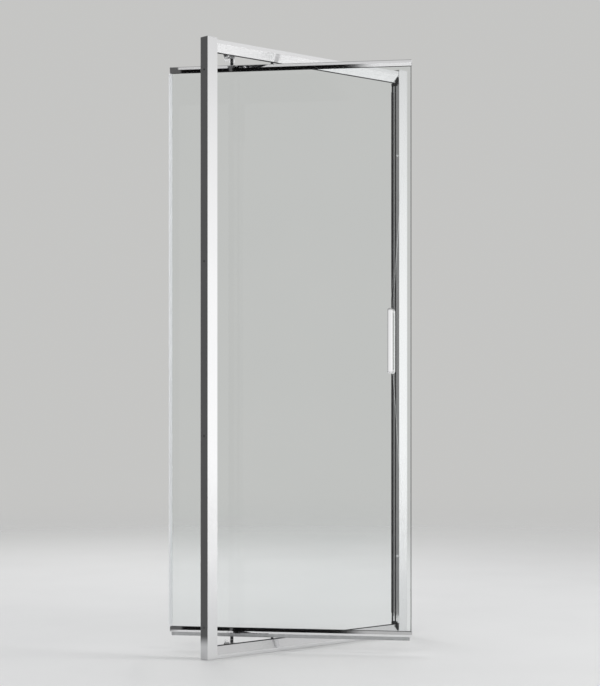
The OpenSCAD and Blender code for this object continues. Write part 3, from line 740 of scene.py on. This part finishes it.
def makeWorld(b):
    world = bpy.data.worlds.new("studio")
    scene.world = world
    world.use_nodes = True
    tree, links = world.node_tree.nodes, world.node_tree.links
    tree.clear()

    def background(colour, strength):
        node = tree.new("ShaderNodeBackground")
        node.inputs["Color"].default_value = (*colour, 1)
        node.inputs["Strength"].default_value = strength
        return node

    path = tree.new("ShaderNodeLightPath")
    seen = tree.new("ShaderNodeMath")
    seen.operation = "MAXIMUM"
    links.new(path.outputs["Is Camera Ray"], seen.inputs[0])
    links.new(path.outputs["Is Transmission Ray"], seen.inputs[1])

    def graded(value, table):
        # a share of the ring's brightness, by a value that runs over the table
        span = tree.new("ShaderNodeMapRange")
        ramp = tree.new("ShaderNodeValToRGB")
        first, last = table[0][0], table[-1][0]
        span.inputs["From Min"].default_value = first
        span.inputs["From Max"].default_value = last
        stops = ramp.color_ramp.elements
        while len(stops) < len(table):
            stops.new(0.5)
        for stop, (level, share) in zip(stops, table):
            stop.position = (level - first) / (last - first)
            stop.color = (share, share, share, 1)
        links.new(value, span.inputs["Value"])
        links.new(span.outputs["Result"], ramp.inputs["Fac"])
        return ramp.outputs["Color"]

    # polished metal sees a bright ring at eye level, darker overhead and towards one side
    place = tree.new("ShaderNodeTexCoord")
    split = tree.new("ShaderNodeSeparateXYZ")
    turn = tree.new("ShaderNodeVectorMath")
    turn.operation = "DOT_PRODUCT"
    turn.inputs[1].default_value = b["bright"]
    both = tree.new("ShaderNodeVectorMath")
    both.operation = "MULTIPLY"
    ring = background((1.0, 1.0, 1.0), b["ring"])
    links.new(place.outputs["Generated"], split.inputs["Vector"])
    links.new(place.outputs["Generated"], turn.inputs[0])
    links.new(graded(split.outputs["Z"], b["shares"]), both.inputs[0])
    links.new(graded(turn.outputs["Value"], b["turns"]), both.inputs[1])
    links.new(both.outputs["Vector"], ring.inputs["Color"])
    backing = background(b["colour"], 1.0)
    ambient = background(b["ambientColour"], b["ambient"])
    metalSees = tree.new("ShaderNodeMixShader")
    mix = tree.new("ShaderNodeMixShader")
    out = tree.new("ShaderNodeOutputWorld")
    links.new(path.outputs["Is Glossy Ray"], metalSees.inputs["Fac"])
    links.new(ambient.outputs["Background"], metalSees.inputs[1])
    links.new(ring.outputs["Background"], metalSees.inputs[2])
    links.new(seen.outputs["Value"], mix.inputs["Fac"])
    links.new(metalSees.outputs["Shader"], mix.inputs[1])
    links.new(backing.outputs["Background"], mix.inputs[2])
    links.new(mix.outputs["Shader"], out.inputs["Surface"])


lampAim = (0, 0, 1.0)
lamps = {
    "key": {"at": (2.6, -4.0, 3.4), "size": 2.2, "power": 115},
    "fill": {"at": (-4.2, -2.2, 2.8), "size": 2.6, "power": 55},
    "rim": {"at": (1.5, 3.8, 3.2), "size": 2.4, "power": 60},
}


def makeLamps(table):
    for name, lamp in table.items():
        light = bpy.data.lights.new(name, "AREA")
        light.shape = "DISK"
        light.size = lamp["size"]
        light.energy = lamp["power"]
        obj = bpy.data.objects.new(name, light)
        obj.location = lamp["at"]
        aim = Vector(lampAim) - obj.location
        obj.rotation_euler = aim.to_track_quat("-Z", "Y").to_euler()
        obj.visible_glossy = False     # no lamp shapes in the glass and the chrome
        obj.visible_transmission = False
        scene.collection.objects.link(obj)


# Flags: cards that glow dark grey and that only polished metal sees, from their front. They are painted dark
# reflections in the chrome, placed as a studio sets flags round chrome.
# The end of a card at its own +X fades out over soft, a share of its length
paintedReflectionFlags = {
    "sidePaintedReflection": {
        "at": (-0.575, 0.166, 1.236), "turn": (0, 90, -51), "size": (2.453, 0.22),
        "shade": 0.115, "soft": 0.015},
    "backPaintedReflection": {
        "at": (0.084, 0.32, 1.235), "turn": (90, 0, 45), "size": (0.36, 2.45),
        "shade": 0.24, "soft": 0.0},
    "lowPaintedReflection": {
        "at": (-3.47, -1.58, 0.03), "turn": (0, 0, -51), "size": (1.40, 1.5),
        "shade": 0.004, "soft": 0.10},
    "highPaintedReflection": {
        "at": (-4.12, -1.86, 2.6), "turn": (180, 0, -51), "size": (1.45, 0.9),
        "shade": 0.004, "soft": 0.10},
    "upperJambPaintedReflection": {
        "at": (-0.398, 0.002, 1.79), "turn": (90, 0, 90), "size": (0.05, 0.22),
        "shade": 0.004, "soft": 0.0},
    "lowerJambPaintedReflection": {
        "at": (-0.398, 0.002, 0.17), "turn": (90, 0, 90), "size": (0.05, 0.22),
        "shade": 0.004, "soft": 0.0},
}
cardEnd = 0.5              # each card is made 1 m long and then scaled
fadePast = 0.001           # a fade ends this far past the card, so that a card without one is whole


def paintedReflectionMaterial(name, flag):
    mat, tree, links, shader = newMaterial(name)
    tree.remove(shader)
    # the glow, near black to mid grey by shade, is the painted reflection itself
    glow = tree.new("ShaderNodeEmission")
    glow.inputs["Color"].default_value = (flag["shade"], flag["shade"], flag["shade"], 1)
    # one end fades out, and the back isn't there
    place = tree.new("ShaderNodeTexCoord")
    split = tree.new("ShaderNodeSeparateXYZ")
    fade = tree.new("ShaderNodeMapRange")
    fade.interpolation_type = "SMOOTHSTEP"
    fade.inputs["From Min"].default_value = cardEnd - flag["soft"]
    fade.inputs["From Max"].default_value = cardEnd + fadePast
    side = tree.new("ShaderNodeNewGeometry")
    gone = tree.new("ShaderNodeMath")
    gone.operation = "MAXIMUM"
    nothing = tree.new("ShaderNodeBsdfTransparent")
    mix = tree.new("ShaderNodeMixShader")
    links.new(place.outputs["Object"], split.inputs["Vector"])
    links.new(split.outputs["X"], fade.inputs["Value"])
    links.new(fade.outputs["Result"], gone.inputs[0])
    links.new(side.outputs["Backfacing"], gone.inputs[1])
    links.new(gone.outputs["Value"], mix.inputs["Fac"])
    links.new(glow.outputs["Emission"], mix.inputs[1])
    links.new(nothing.outputs["BSDF"], mix.inputs[2])
    links.new(mix.outputs["Shader"], tree["Material Output"].inputs["Surface"])
    return mat


def makePaintedReflectionFlags(table):
    for name, flag in table.items():
        bm = bmesh.new()
        bmesh.ops.create_grid(bm, x_segments=1, y_segments=1, size=cardEnd)
        mesh = bpy.data.meshes.new(name)
        bm.to_mesh(mesh)
        bm.free()
        mesh.materials.append(paintedReflectionMaterial(name, flag))
        card = bpy.data.objects.new(name, mesh)
        card.scale = (*flag["size"], 1)
        card.location = flag["at"]
        card.rotation_euler = [math.radians(a) for a in flag["turn"]]
        # hidden from the camera, from diffuse and transmitted light and from shadows: a card shows only as a
        # painted reflection in glossy surfaces
        card.visible_camera = False
        card.visible_diffuse = False
        card.visible_transmission = False
        card.visible_shadow = False
        scene.collection.objects.link(card)


makeFloor(paleFloor)
makeWorld(backdrop)
makeLamps(lamps)
makePaintedReflectionFlags(paintedReflectionFlags)
nodes["glass"].visible_shadow = False
scene.view_settings.view_transform = "Standard"
print("stage set")
